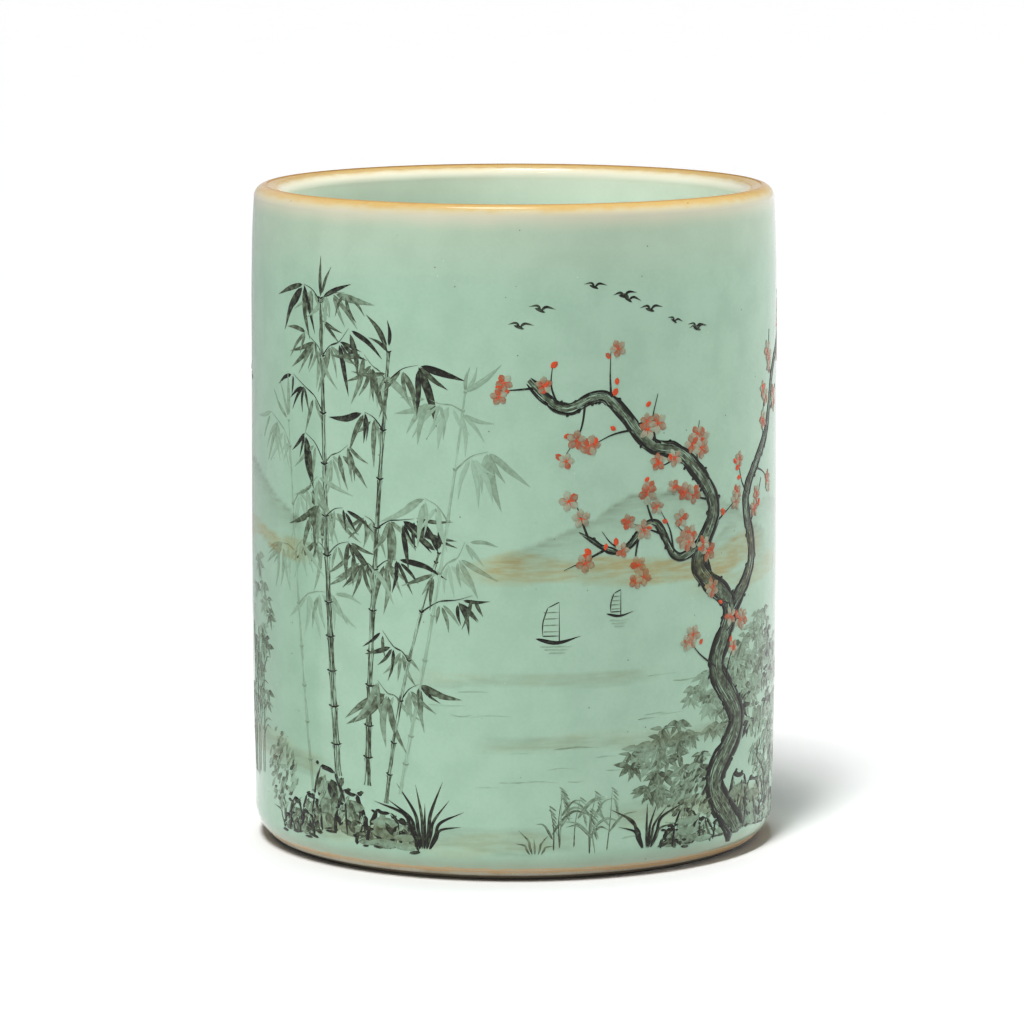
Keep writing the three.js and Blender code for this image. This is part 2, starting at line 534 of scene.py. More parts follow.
def hill(s, z, middle, half, foot, top, ink, fade, seed):
    """A distant hill: ink along its ridge that fades downwards."""
    reach = np.clip(np.abs(off(s, middle)) / half, 0, 1)
    rough = (cloudy(s, z * 0, 5, seed) - 0.5) * 2.4 + (cloudy(s, z * 0, 1.7, seed + 1) - 0.5) * 0.9
    ridge = foot + (top - foot) * (np.cos(math.pi * reach) / 2 + 0.5) ** 0.75 + rough * (1 - reach)
    depth = ridge - z
    body = eased(depth, 0, 0.7) * np.exp(-np.clip(depth, 0, 99) / fade)
    return ink * body * eased(1 - reach, 0, 0.12) * (0.7 + 0.6 * cloudy(s, z, 3, seed + 2))


def streak(s, z, middle, half, level, thick, ink, seed):
    """A long soft patch of wash with a wandering edge."""
    reach = np.abs(off(s, middle)) / half
    wander = (cloudy(s, z * 0, 13, seed) - 0.5) * thick * 1.2
    height = np.abs(z - level - wander) / (thick * (0.55 + 0.9 * cloudy(s, z * 0, 9, seed + 1)))
    patch = ink * eased(1 - reach, 0, 0.35) * eased(1 - height, 0, 0.3)
    return patch * (0.6 + 0.7 * cloudy(s, z, 4, seed + 2))


HILLS = (
    # middle, half width, foot, top, ink, fade
    (30, 34, 62, 73, 0.34, 3.4),
    (62, 30, 60, 68, 0.26, 3.0),
    (-74, 30, 66, 76, 0.36, 3.2),
    (-104, 36, 64, 72, 0.28, 3.0),
    (-142, 34, 62, 74, 0.34, 3.4),
    (152, 22, 60, 66, 0.24, 2.6),
)
MISTS = (
    # middle, half width, level, half thickness, strength
    (26, 40, 58.5, 2.6, 0.85),
    (58, 26, 54.5, 1.8, 0.6),
    (-70, 30, 61.0, 2.4, 0.8),
    (-112, 34, 57.5, 2.2, 0.6),
    (-150, 30, 58.0, 2.4, 0.75),
)
SHALLOWS = (
    # middle, half width, level, half thickness, ink
    (-18, 34, 7.5, 2.2, 0.16),
    (20, 30, 26.0, 1.6, 0.12),
    (42, 26, 12.0, 2.0, 0.15),
    (-60, 24, 20.0, 2.4, 0.15),
    (-120, 40, 10.0, 2.4, 0.16),
    (120, 34, 8.0, 2.4, 0.18),
    (4, 26, 38.0, 1.4, 0.10),
)


def washes(s, z):
    """The soft grey and ochre washes at places on the outside, each from 0 to 1."""
    grey = np.zeros_like(s)
    ochre = np.zeros_like(s)
    for n, (middle, half, foot, top, ink, fade) in enumerate(HILLS):
        grey = np.maximum(grey, hill(s, z, middle, half, foot, top, ink, fade, 10 * n))
    for n, (middle, half, level, thick, strength) in enumerate(MISTS):
        ochre = np.maximum(ochre, streak(s, z, middle, half, level, thick, strength, 100 + 10 * n))
    for n, (middle, half, level, thick, strength) in enumerate(SHALLOWS):
        grey = np.maximum(grey, streak(s, z, middle, half, level, thick, strength, 200 + 10 * n))
        ochre = np.maximum(ochre, streak(s, z, middle, half, level, thick, strength * 2, 300 + 10 * n))
    return grey, ochre


def add_vectors(piece, name, vectors):
    """Keeps a vector for each vertex, for the materials to read."""
    held = piece.data.attributes.new(name, "FLOAT_VECTOR", "POINT")
    held.data.foreach_set("vector", np.asarray(vectors, np.float32).ravel())


def lay_washes(piece):
    """Works the washes out at each vertex of a piece."""
    places = np.empty(len(piece.data.vertices) * 3, np.float32)
    piece.data.vertices.foreach_get("co", places)
    x, y, z = places.reshape(-1, 3).T / MM
    grey, ochre = washes(np.arctan2(x, -y) * OUTER_RADIUS, z)
    add_vectors(piece, "wash", np.stack([grey, ochre, np.zeros_like(grey)], 1))


# Brush strokes, as thin closed ribbons that lie on the coat


# Where the points across a stroke lie, how far its edges sink into the coat and its middle stands over it,
# how much each next stroke and each next layer stands over the last, and the spacing along a stroke
ACROSS = np.array([-1.0, -0.6, 0.0, 0.6, 1.0])
EDGE_SINK = 0.012
LOW_LIFT = 0.010
LIFT_STEP = 0.0012
LIFT_LEVELS = 24
LAYER = 0.028
STATION = 1.0


def smooth_path(points, step):
    """Points spaced about a step apart on one smooth curve through the given ones."""
    p = np.array(points, float)
    if len(p) == 2:
        p = np.array([p[0], (p[0] + p[1]) / 2, p[1]])
    p = np.vstack([2 * p[0] - p[1], p, 2 * p[-1] - p[-2]])
    out = []
    for a, b, c, d in zip(p, p[1:], p[2:], p[3:]):
        count = max(2, math.ceil(np.linalg.norm(c - b) / step))
        for t in np.arange(count) / count:
            out.append(0.5 * (2 * b + (c - a) * t + (2 * a - 5 * b + 4 * c - d) * t**2
                              + (3 * b - a - 3 * c + d) * t**3))
    out.append(p[-2])
    return np.array(out)


def leaf_shape(t):
    return np.sin(math.pi * t**0.62) ** 0.85


def dab_shape(t):
    return np.sqrt(np.clip(1 - (2 * t - 1) ** 2, 0, 1))


def line_shape(t):
    return np.clip(t / 0.07, 0, 1) ** 0.5 * np.clip((1 - t) / 0.3, 0, 1) ** 0.6


def twig_shape(t):
    return np.clip(t / 0.05, 0, 1) ** 0.5 * (1 - 0.85 * t)


def joint_shape(t):
    return 0.86 + 0.3 * np.abs(2 * t - 1) ** 5


class Brushwork:
    """All the strokes that are painted in one enamel for one motif."""

    def __init__(self, layer):
        self.low = LOW_LIFT + LAYER * layer
        self.places, self.lifts, self.faces, self.load, self.brush = [], [], [], [], []
        self.strokes = 0

    def stroke(self, path, width, ink, dry=0.35, shape=line_shape, fade=0.2):
        """Paints along points (s, z): width at its widest, ink from 0 to 1, dry from 0 to 1."""
        line = smooth_path(path, min(STATION, max(0.25, width * 0.6)))
        runs = np.linalg.norm(np.diff(line, axis=0), axis=1)
        along = np.concatenate([[0], np.cumsum(runs)])
        t = along / along[-1]
        half = np.maximum(width / 2 * shape(t), 0.02)
        way = np.gradient(line, axis=0)
        way /= np.linalg.norm(way, axis=1)[:, None]
        left = np.stack([-way[:, 1], way[:, 0]], 1)
        spots = line[:, None] + left[:, None] * (half[:, None] * ACROSS)[..., None]
        top = self.low + LIFT_STEP * (self.strokes % LIFT_LEVELS)
        lifts = np.where(np.abs(ACROSS) == 1, -EDGE_SINK, top) + 0 * half[:, None]
        rows, wide = len(line), len(ACROSS)
        first = sum(len(p) for p in self.places)
        index = first + np.arange(rows * wide).reshape(rows, wide)
        for i in range(rows - 1):
            a, b = index[i].tolist(), index[i + 1].tolist()
            self.faces += [(a[k], b[k], b[k + 1], a[k + 1]) for k in range(wide - 1)]
            self.faces.append((a[0], a[-1], b[-1], b[0]))
        self.faces.append(tuple(index[0].tolist()))
        self.faces.append(tuple(index[-1][::-1].tolist()))
        start = 7.3 * self.strokes
        fading = ink * (1 - fade * t)
        self.places.append(spots.reshape(-1, 2))
        self.lifts.append(lifts.ravel())
        load = np.broadcast_arrays(fading[:, None], dry + 0 * lifts, 0)
        self.load.append(np.stack(load, -1).reshape(-1, 3))
        sides = np.broadcast_to(ACROSS, (rows, wide))
        brush = (start + along[:, None] + 0 * sides, half[:, None] * ACROSS + start, sides)
        self.brush.append(np.stack(brush, -1).reshape(-1, 3))
        self.strokes += 1

    def dab(self, s, z, length, width, angle, ink, dry=0.2, shape=dab_shape):
        """One short press of the brush, centred on a place."""
        reach = turn(angle, 1) * length / 2
        middle = np.array([s, z])
        self.stroke([middle - reach, middle, middle + reach], width, ink, dry, shape)

    def made(self, name, material):
        """Lays the strokes on the pot as one piece."""
        s, z = np.concatenate(self.places).T
        radius = outside_radius(z) + np.concatenate(self.lifts)
        angle = s / OUTER_RADIUS
        points = np.stack([radius * np.sin(angle), -radius * np.cos(angle), z], 1)
        piece = finished(name, points, self.faces, material)
        add_vectors(piece, "load", np.concatenate(self.load))
        add_vectors(piece, "brush", np.concatenate(self.brush))
        lay_washes(piece)
        return piece


def turn(angle, length):
    """A step of a length in a direction in degrees, from the horizontal up."""
    return np.array([math.cos(math.radians(angle)), math.sin(math.radians(angle))]) * length


# Bamboo, on the left of the front

# foot, head, width, ink, bare share
CULMS = (
    ((-43, 14), (-50, 84), 1.1, 0.36, 0.45),
    ((-22, 16), (-9, 92), 1.0, 0.34, 0.5),
    ((-36, 18), (-40, 108), 2.1, 0.86, 0.42),
    ((-29, 17), (-24, 99), 1.7, 0.92, 0.46),
    ((-25, 14), (-14, 62), 1.1, 0.8, 0.4),
)


def bamboo_leaf(work, start, angle, length, width, dark, rng):
    bend = rng.uniform(-20, 20)
    middle = start + turn(angle, length * 0.5)
    tip = middle + turn(angle + bend, length * 0.5)
    work.stroke([start, middle, tip], width, dark, rng.uniform(0.1, 0.5), leaf_shape, 0.15)


def leaf_spray(work, start, facing, count, length, dark, rng):
    """Leaves of uneven length that hang in a fan from one place on a twig."""
    for n in range(count):
        angle = facing + (n - (count - 1) / 2) * 96 / count + rng.uniform(-13, 13)
        long = length * rng.uniform(0.5, 1.15)
        tone = dark * rng.uniform(0.72, 1.06)
        width = max(0.8, long * rng.uniform(0.12, 0.19))
        bamboo_leaf(work, start + turn(angle, rng.uniform(0.2, 1.2)), angle, long, width, tone, rng)


def bamboo_twig(stems, leaves, start, angle, length, dark, rng):
    """A twig that droops at its end, with overlapping sprays of leaves along it."""
    middle = start + turn(angle, length * 0.55)
    droop = angle - 24 if math.cos(math.radians(angle)) > 0 else angle + 24
    tip = middle + turn(droop, length * 0.45)
    stems.stroke([start, middle, tip], 0.38, dark, 0.2, twig_shape, 0.1)
    side = 1 if tip[0] > start[0] else -1
    long = rng.uniform(6.5, 10.5)
    facing, count = -90 + side * rng.uniform(-10, 24), rng.choice((2, 3, 4))
    leaf_spray(leaves, middle, facing, count, long * 0.9, dark * 0.6, rng)
    facing, count = -90 + side * rng.uniform(14, 46), rng.choice((3, 4, 5))
    leaf_spray(leaves, tip, facing, count, long, dark, rng)
    if rng.random() < 0.5:
        fork = tip + turn(angle + side * rng.uniform(-40, 10), rng.uniform(2.0, 4.0))
        stems.stroke([middle, tip, fork], 0.3, dark, 0.2, twig_shape, 0.1)
        facing, count = -90 + side * rng.uniform(10, 60), rng.choice((2, 3))
        leaf_spray(leaves, fork, facing, count, long * 0.85, dark, rng)


def bamboo_culm(stems, leaves, foot, head, width, dark, bare, rng):
    """A jointed stem from foot to head, with twigs above its bare share."""
    foot, head = np.array(foot, float), np.array(head, float)
    length = np.linalg.norm(head - foot)
    way = (head - foot) / length
    side = np.array([way[1], -way[0]])
    bow = rng.uniform(-1.6, 1.6)
    share, hand = 0.0, 1
    while share < 1:
        start = foot + way * length * share + side * bow * math.sin(math.pi * share)
        share_next = min(1.0, share + rng.uniform(8.5, 11.5) * (0.6 + 0.5 * share) / length)
        end = foot + way * length * share_next + side * bow * math.sin(math.pi * share_next)
        thick = width * (1 - 0.5 * share)
        gap = (end - start) * 0.025
        stems.stroke([start + gap, (start + end) / 2, end - gap], thick, dark * 0.72, 0.72, joint_shape, 0.0)
        lip = side * thick * 0.68
        knot = [end - lip + way * 0.3, end - way * 0.05, end + lip + way * 0.3]
        stems.stroke(knot, 0.42, dark, 0.1, line_shape, 0)
        if share_next > bare and share_next < 1 and rng.random() < 0.85:
            twig_length = rng.uniform(4.5, 10.5) * (1.15 - 0.45 * share_next)
            facing = 90 - hand * rng.uniform(30, 66)
            bamboo_twig(stems, leaves, end, facing, twig_length, dark, rng)
            if rng.random() < 0.4:
                facing = 90 + hand * rng.uniform(26, 54)
                bamboo_twig(stems, leaves, end, facing, twig_length * 0.6, dark * 0.7, rng)
            hand = -hand if rng.random() < 0.8 else hand
        share = share_next
    leaf_spray(leaves, head, 90 - hand * 30, 3, 8, dark, rng)
    leaf_spray(leaves, head - way * 4, -90 + hand * 40, 3, 7, dark * 0.8, rng)


def bamboo_grove(stems, leaves):
    rng = random.Random(11)
    for culm in CULMS:
        bamboo_culm(stems, leaves, *culm, rng)


# Shrubs, rocks, grass and evergreens along the foot, all the way round

# s, z, width, height, and for shrubs and evergreens how many leaves or tufts
SHRUBS = (
    (64, 9, 19, 20, 170),
    (37, 8, 14, 12, 110),
    (-54, 9, 13, 16, 90),
    (112, 8, 20, 18, 130),
    (-118, 8, 16, 15, 100),
)
ROCKS = (
    (-38, 7, 17, 13),
    (-25, 5.5, 13, 8),
    (-48, 5.5, 10, 6),
    (52, 5.5, 18, 12),
    (67, 5, 13, 8),
    (36, 5, 13, 7),
    (106, 6, 14, 9),
    (124, 5, 12, 7),
    (-112, 7, 14, 9),
    (-124, 5, 10, 6),
)
EVERGREENS = (
    (60, 36, 24, 22, 74),
    (33, 22, 22, 15, 46),
    (45, 33, 18, 14, 34),
    (74, 24, 18, 22, 40),
    (-64, 42, 13, 30, 26),
    (122, 34, 28, 26, 56),
    (-122, 34, 24, 26, 46),
)
# s, z, how many leaves, their length, ink
GRASSES = (
    (-17, 6, 9, 14, 0.95),
    (-52, 6, 6, 8, 0.7),
    (26, 5.5, 8, 12, 0.9),
    (66, 8, 8, 14, 0.9),
    (98, 6, 7, 12, 0.8),
    (132, 6, 8, 13, 0.85),
    (-104, 8, 9, 17, 0.9),
    (-131, 6, 6, 9, 0.6),
    (4, 5.5, 5, 5, 0.5),
)


def rock(work, s, z, wide, high, rng):
    """A weathered rock of three blocks: washes, dry shade on the right, broken dark edges and moss."""
    for peak, middle, half in ((1.0, s - wide * 0.04, wide * 0.27), (0.7, s + wide * 0.29, wide * 0.22),
                               (0.52, s - wide * 0.33, wide * 0.18)):
        tall = high * peak * rng.uniform(0.9, 1.1)
        for n in range(3):
            level = z + tall * (0.15 + 0.25 * n)
            path = [(middle - half * 0.8, level), (middle + half * 0.9, level + rng.uniform(-0.4, 0.4))]
            work.stroke(path, tall * 0.34, rng.uniform(0.3, 0.46), 0.3, dab_shape, 0.0)
        for _ in range(4):
            work.dab(middle + half * rng.uniform(0.0, 0.7), z + tall * rng.uniform(0.15, 0.65),
                     half * rng.uniform(0.7, 1.2), tall * rng.uniform(0.16, 0.3), rng.uniform(-75, -45),
                     rng.uniform(0.55, 0.9), 0.45)
        for _ in range(int(half * 2.5)):
            x = middle + half * rng.uniform(-0.5, 0.9)
            y = z + tall * rng.uniform(0.35, 0.9)
            slant = [(x, y), (x - rng.uniform(0.3, 1.5), y - tall * rng.uniform(0.15, 0.35))]
            width, ink, dry = rng.uniform(0.8, 1.8), rng.uniform(0.4, 0.85), rng.uniform(0.5, 0.8)
            work.stroke(slant, width, ink, dry, leaf_shape, 0.3)
        corners = [(middle - half, z), (middle - half * 0.85, z + tall * 0.55),
                   (middle - half * 0.45, z + tall), (middle + half * 0.4, z + tall * 0.93),
                   (middle + half * 0.95, z + tall * 0.5), (middle + half * 1.05, z)]
        for a, b in zip(corners, corners[1:]):
            bend = ((a[0] + b[0]) / 2 + rng.uniform(-0.4, 0.4), (a[1] + b[1]) / 2 + rng.uniform(-0.4, 0.4))
            work.stroke([a, bend, b], rng.uniform(0.6, 1.3), rng.uniform(0.85, 1.0), 0.45, line_shape, 0.1)
        for _ in range(6):
            spot = corners[rng.randrange(1, 5)]
            x, y = spot[0] + rng.uniform(-1.5, 1.5), spot[1] + rng.uniform(-0.8, 0.6)
            work.dab(x, y, rng.uniform(0.8, 1.6), rng.uniform(0.5, 1.0), rng.uniform(-25, 25),
                     rng.uniform(0.8, 1.0))
    for _ in range(int(wide * 0.7)):
        work.dab(s + wide * rng.uniform(-0.5, 0.5), z + rng.uniform(-0.4, 0.9), rng.uniform(1.4, 3.0),
                 rng.uniform(0.5, 0.9), rng.uniform(-12, 12), rng.uniform(0.6, 1.0), 0.5)


def shrub(work, s, z, wide, high, count, rng):
    """A mass of leaves in dabs: pale ones first, then darker ones that gather low and in the middle."""
    for n in range(count):
        share = n / count
        angle = rng.uniform(0, 2 * math.pi)
        away = math.sqrt(rng.random()) * (1 - 0.3 * share)
        x = s + wide / 2 * away * math.cos(angle)
        y = z + high / 2 * (1 + away * math.sin(angle) - 0.15 * share)
        ink = rng.uniform(0.2, 0.45) + 0.5 * share * rng.random()
        work.dab(x, y, rng.uniform(1.5, 2.8), rng.uniform(0.7, 1.3), rng.uniform(15, 75), ink,
                 rng.uniform(0.2, 0.6), leaf_shape)


def grass(work, s, z, count, length, dark, rng):
    """Long narrow leaves that rise from one root and bend over."""
    for n in range(count):
        lean = (n - (count - 1) / 2) * 2.0 / count + rng.uniform(-0.15, 0.15)
        long = length * rng.uniform(0.55, 1.05)
        root = np.array([s + lean * 1.2, z])
        knee = root + turn(90 - lean * 34, long * 0.55)
        tip = knee + turn(90 - lean * 92, long * 0.5)
        work.stroke([root, (root + knee) / 2 + (lean * 0.2, 0.2), knee, tip], long * 0.042 + 0.3,
                    dark * rng.uniform(0.75, 1.05), 0.3, leaf_shape, 0.15)


def banks(work):
    rng = random.Random(23)
    for place in SHRUBS:
        shrub(work, *place, rng)
    for place in ROCKS:
        rock(work, *place, rng)
    for place in GRASSES:
        grass(work, *place, rng)


def tuft(work, s, z, count, length, ink, rng):
    """Short broad leaves that fan out and down from one place."""
    for n in range(count):
        angle = -90 + (n - (count - 1) / 2) * 200 / count + rng.uniform(-16, 16)
        long = length * rng.uniform(0.65, 1.1)
        middle = np.array([s, z]) + turn(angle, long * 0.55)
        work.dab(*middle, long, long * rng.uniform(0.34, 0.5), angle, ink * rng.uniform(0.8, 1.1),
                 rng.uniform(0.25, 0.6), leaf_shape)


def evergreen(work, s, z, wide, high, count, rng):
    """A dense crown in tufts: pale ones behind, darker ones in front and towards the bottom right."""
    for n in range(count):
        share = n / count
        angle = rng.uniform(0, 2 * math.pi)
        away = math.sqrt(rng.random()) / 2
        x, y = wide * away * math.cos(angle), high * away * math.sin(angle)
        shade_side = 0.5 + (x / wide - y / high) * 0.6
        ink = 0.3 + 0.25 * rng.random() + 0.8 * share * share * shade_side * rng.random()
        tuft(work, s + x, z + y, rng.choice((4, 5, 6)), rng.uniform(2.6, 3.8), ink, rng)


def evergreens(work):
    rng = random.Random(71)
    for place in EVERGREENS:
        evergreen(work, *place, rng)


# Reeds, ripples, birds and boats

# s, z, how many stems, half the width, height, ink
REED_BEDS = (
    (-68, 14, 11, 6, 32, 0.85),
    (13, 6, 8, 6, 13, 0.7),
    (-148, 10, 12, 8, 34, 0.85),
    (82, 8, 7, 4, 20, 0.6),
)
# s, z, how many, width
WATERS = (
    (8, 22, 9, 26),
    (36, 34, 7, 22),
    (-8, 34, 5, 14),
    (70, 22, 7, 18),
    (-72, 22, 7, 16),
    (-95, 30, 7, 20),
    (-135, 26, 8, 22),
    (140, 24, 8, 20),
    (30, 12, 5, 16),
)
# s, z, length, and 1 for a bow to the right
BOATS = (
    (8, 45.5, 8.0, 1),
    (20, 50, 5.2, 1),
    (-98, 48, 7.0, -1),
)


def reeds(work, s, z, count, wide, high, dark, rng):
    """Stems that lean, each with a drooping plume and two narrow leaves."""
    for _ in range(count):
        foot = np.array([s + rng.uniform(-wide, wide), z + rng.uniform(-0.8, 0.8)])
        lean = rng.uniform(-5, 9)
        tall = high * rng.uniform(0.5, 1.0)
        head = foot + turn(90 - lean, tall)
        ink = dark * rng.uniform(0.55, 1.0)
        work.stroke([foot, (foot + head) / 2 + (rng.uniform(-0.5, 0.5), 0), head], 0.34, ink, 0.5, twig_shape)
        for m in range(7):
            start = head + (rng.uniform(-0.2, 0.2), -m * 0.75)
            work.dab(start[0] + 0.5 + m * 0.1, start[1] - 0.35, 1.7, 0.34, -38 - m * 5, ink * 0.8, 0.5)
        for _ in range(2):
            knot = foot + (head - foot) * rng.uniform(0.25, 0.7)
            way = rng.choice((-1, 1))
            tip = knot + (way * rng.uniform(3, 6), rng.uniform(0.5, 4))
            work.stroke([knot, (knot + tip) / 2 + (0, 1.2), tip], 0.55, ink * 0.85, 0.5, leaf_shape)


def ripples(work):
    rng = random.Random(31)
    for s, z, count, wide in WATERS:
        for _ in range(count):
            at = s + rng.uniform(-wide, wide) / 2
            level = z + rng.uniform(-5, 5)
            long = rng.uniform(3, 9)
            crest = level + rng.uniform(-0.35, 0.35)
            path = [(at - long / 2, level), (at, crest), (at + long / 2, level + 0.1)]
            work.stroke(path, rng.uniform(0.25, 0.42), rng.uniform(0.16, 0.34), 0.75, leaf_shape)


def bird(work, s, z, span, tilt, dark):
    """A bird on the wing: two bent wings and a short body."""
    heart = np.array([s, z])
    near = [heart, heart + turn(tilt + 38, span * 0.26), heart + turn(tilt + 8, span * 0.58)]
    far = [heart, heart + turn(tilt + 128, span * 0.24), heart + turn(tilt + 164, span * 0.5)]
    work.stroke(near, span * 0.12, dark, 0.15, leaf_shape)
    work.stroke(far, span * 0.11, dark * 0.9, 0.15, leaf_shape)
    back = turn(tilt - 20, span * 0.26)
    work.stroke([heart - back, heart, heart + back * 0.7], span * 0.13, dark, 0.1, dab_shape)


def flock(work, s, z, count, gap, span, rng):
    """Birds in a loose slanting line that thins out."""
    for n in range(count):
        side = 1 if n % 3 else -1
        rank = (n + 1) // 2
        bird(work, s + side * rank * gap + rng.uniform(-1, 1), z - rank * gap * 0.42 + rng.uniform(-0.8, 0.8),
             span * rng.uniform(0.8, 1.1) * (1 - 0.05 * rank), rng.uniform(-14, 14), rng.uniform(0.8, 1.0))


def boat(work, s, z, size, way):
    """A small sailing boat: hull, mast, battened sail and its reflection."""
    hull = [(s - way * size * 0.5, z + size * 0.10), (s, z), (s + way * size * 0.55, z + size * 0.14)]
    work.stroke(hull, size * 0.11, 0.92, 0.25, leaf_shape, 0)
    mast = (s + way * size * 0.05, z + size * 0.95)
    work.stroke([(s + way * size * 0.05, z), mast], 0.26, 0.9, 0.1, twig_shape, 0)
    lower = (s - way * size * 0.34, z + size * 0.16)
    upper = (s - way * size * 0.22, z + size * 0.82)
    work.stroke([mast, upper], 0.24, 0.85, 0.1, line_shape, 0)
    bulge = ((upper[0] + lower[0]) / 2 - way * size * 0.05, z + size * 0.48)
    work.stroke([upper, bulge, lower], 0.28, 0.85, 0.1)
    work.stroke([lower, (s + way * size * 0.05, z + size * 0.16)], 0.24, 0.85, 0.1, line_shape, 0)
    for n in range(4):
        level = z + size * (0.26 + 0.15 * n)
        work.stroke([(s - way * size * 0.32, level), (s + way * size * 0.04, level + 0.05)], 0.2, 0.5, 0.3)
    for n in range(3):
        level = z - 0.7 - 0.6 * n
        left, right = s - size * (0.4 - 0.1 * n), s + size * (0.35 - 0.08 * n)
        work.stroke([(left, level), (right, level)], 0.3, 0.28, 0.7)


def water_life(birds, plants):
    rng = random.Random(43)
    flock(birds, 16, 111, 9, 5.2, 5.0, rng)
    flock(birds, -88, 96, 7, 5.0, 4.4, rng)
    for place in BOATS:
        boat(birds, *place)
    for place in REED_BEDS:
        reeds(plants, *place, rng)


# Blossoming plum, on the right of the front, with one bough that reaches round the right side

TRUNK = ((51, 5), (43, 16), (50, 27), (43, 38), (47, 49), (38, 58), (42, 69), (34, 79), (26, 82), (17, 91),
         (9, 89), (2, 95))
LOW_BOUGH = ((41, 64), (33, 60), (27, 67), (20, 62), (12, 66))
SIDE_BOUGH = ((46, 47), (55, 57), (53, 70), (63, 81), (69, 93), (84, 100))
# path, width, how many twigs, their length, how many flowers on each
BOUGHS = (
    (SIDE_BOUGH, 3.4, 9, 10, 4),
    (LOW_BOUGH, 2.0, 7, 9, 3),
    (TRUNK, 5.8, 16, 10, 4),
)


def blossom(red, s, z, size, rng):
    """Five petals round a dark heart with fine stamens."""
    first = rng.uniform(0, 72)
    for n in range(5):
        angle = first + 72 * n
        petal = np.array([s, z]) + turn(angle, size * 0.29)
        red.dab(petal[0], petal[1], size * 0.46, size * 0.44, angle, rng.uniform(0.26, 0.6), 0.3)
    for n in range(6):
        angle = first + 20 + 60 * n
        middle = np.array([s, z])
        stamen = [middle + turn(angle, 0.15), middle + turn(angle, size * 0.27)]
        red.stroke(stamen, 0.17, 1.0, 0.0, line_shape, 0)
    red.dab(s, z, size * 0.16, size * 0.16, 0, 1.0, 0)


def bud(red, s, z, size, angle, rng):
    red.dab(s, z, size, size * 0.78, angle, rng.uniform(0.7, 1.0), 0.2)


def twig_with_flowers(wood, red, path, width, flowers, rng):
    """A twig with blossoms and buds set along it."""
    wood.stroke(path, width, 0.9, 0.35, twig_shape, 0.15)
    line = smooth_path(path, 1.0)
    for _ in range(flowers):
        place = line[rng.randrange(len(line) // 3, len(line))]
        s, z = place + (rng.uniform(-1.5, 1.5), rng.uniform(-1.1, 1.5))
        if rng.random() < 0.62:
            blossom(red, s, z, rng.uniform(3.0, 4.2), rng)
        else:
            bud(red, s, z, rng.uniform(1.2, 1.7), rng.uniform(0, 180), rng)


def plum_branch(wood, red, path, width, twigs, length, flowers, rng):
    """A rough bough: dark broken edges over dry shading, with twigs that shoot up and out."""
    line = smooth_path(path, 1.0)
    way = np.gradient(line, axis=0)
    left = np.stack([-way[:, 1], way[:, 0]], 1) / np.linalg.norm(way, axis=1)[:, None]
    thick = width * (1 - 0.72 * np.linspace(0, 1, len(line)))[:, None]
    wood.stroke(line[::3], width * 0.95, 0.62, 0.6, twig_shape, 0.1)
    for start in range(0, len(line) - 6, 7):
        stretch = slice(start, start + 9)
        for side in (-1, 1):
            edge = line[stretch] + left[stretch] * thick[stretch] * 0.42 * side
            edge = edge + np.array([[rng.uniform(-0.18, 0.18), rng.uniform(-0.18, 0.18)] for _ in edge])
            heavy = rng.uniform(0.24, 0.42)
            wood.stroke(edge[::2], max(0.55, thick[start, 0] * heavy), 1.0, 0.5, line_shape, 0.1)
    for _ in range(int(len(line) * width / 7)):
        i = rng.randrange(len(line) - 3)
        offset = left[i] * thick[i] * rng.uniform(-0.3, 0.3)
        crack = [line[i] + offset, line[i + 3] + offset * 0.8]
        wood.stroke(crack, rng.uniform(0.3, 0.6), 0.8, 0.7, dab_shape)
        if rng.random() < 0.35:
            edge = line[i] + left[i] * thick[i] * rng.choice((-0.55, 0.55))
            wood.dab(edge[0], edge[1], 0.9, 0.7, rng.uniform(0, 90), 1.0, 0.1)
    for n in range(twigs):
        i = min(len(line) - 2, int(len(line) * (0.25 + 0.75 * (n + 0.5) / twigs)))
        heading = math.degrees(math.atan2(way[i][1], way[i][0]))
        angle = heading + rng.uniform(28, 64) * (1 if n % 2 else -1)
        long = length * rng.uniform(0.6, 1.1)
        knee = line[i] + turn(angle, long * 0.5)
        tip = knee + turn(angle + rng.uniform(-24, 24), long * 0.5)
        twig_with_flowers(wood, red, [line[i], knee, tip], 0.62, flowers, rng)


def plum_tree(wood, red):
    rng = random.Random(57)
    for bough in BOUGHS:
        plum_branch(wood, red, *bough, rng)


# The painting's pieces, each with its layer: a higher one lies over a lower one
LAYERS = {
    "ripple_lines": 0,
    "evergreen_leaves": 0,
    "bamboo_stems": 1,
    "bamboo_leaves": 1,
    "rocks_and_grass": 1,
    "reed_plants": 1,
    "plum_wood": 2,
    "birds_and_boats": 1,
    "plum_blossom": 3,
}


def painting():
    """Paints the pot: each motif is one piece in one enamel."""
    ink = enamel_material("ink_enamel", DILUTE_INK, FULL_INK, 0.24)
    red = enamel_material("iron_red_enamel", DILUTE_RED, IRON_RED, 0.3)
    work = {name: Brushwork(layer) for name, layer in LAYERS.items()}
    ripples(work["ripple_lines"])
    evergreens(work["evergreen_leaves"])
    bamboo_grove(work["bamboo_stems"], work["bamboo_leaves"])
    banks(work["rocks_and_grass"])
    water_life(work["birds_and_boats"], work["reed_plants"])
    plum_tree(work["plum_wood"], work["plum_blossom"])
    for name, strokes in work.items():
        strokes.made(name, red if name == "plum_blossom" else ink)


# Studio, in metres

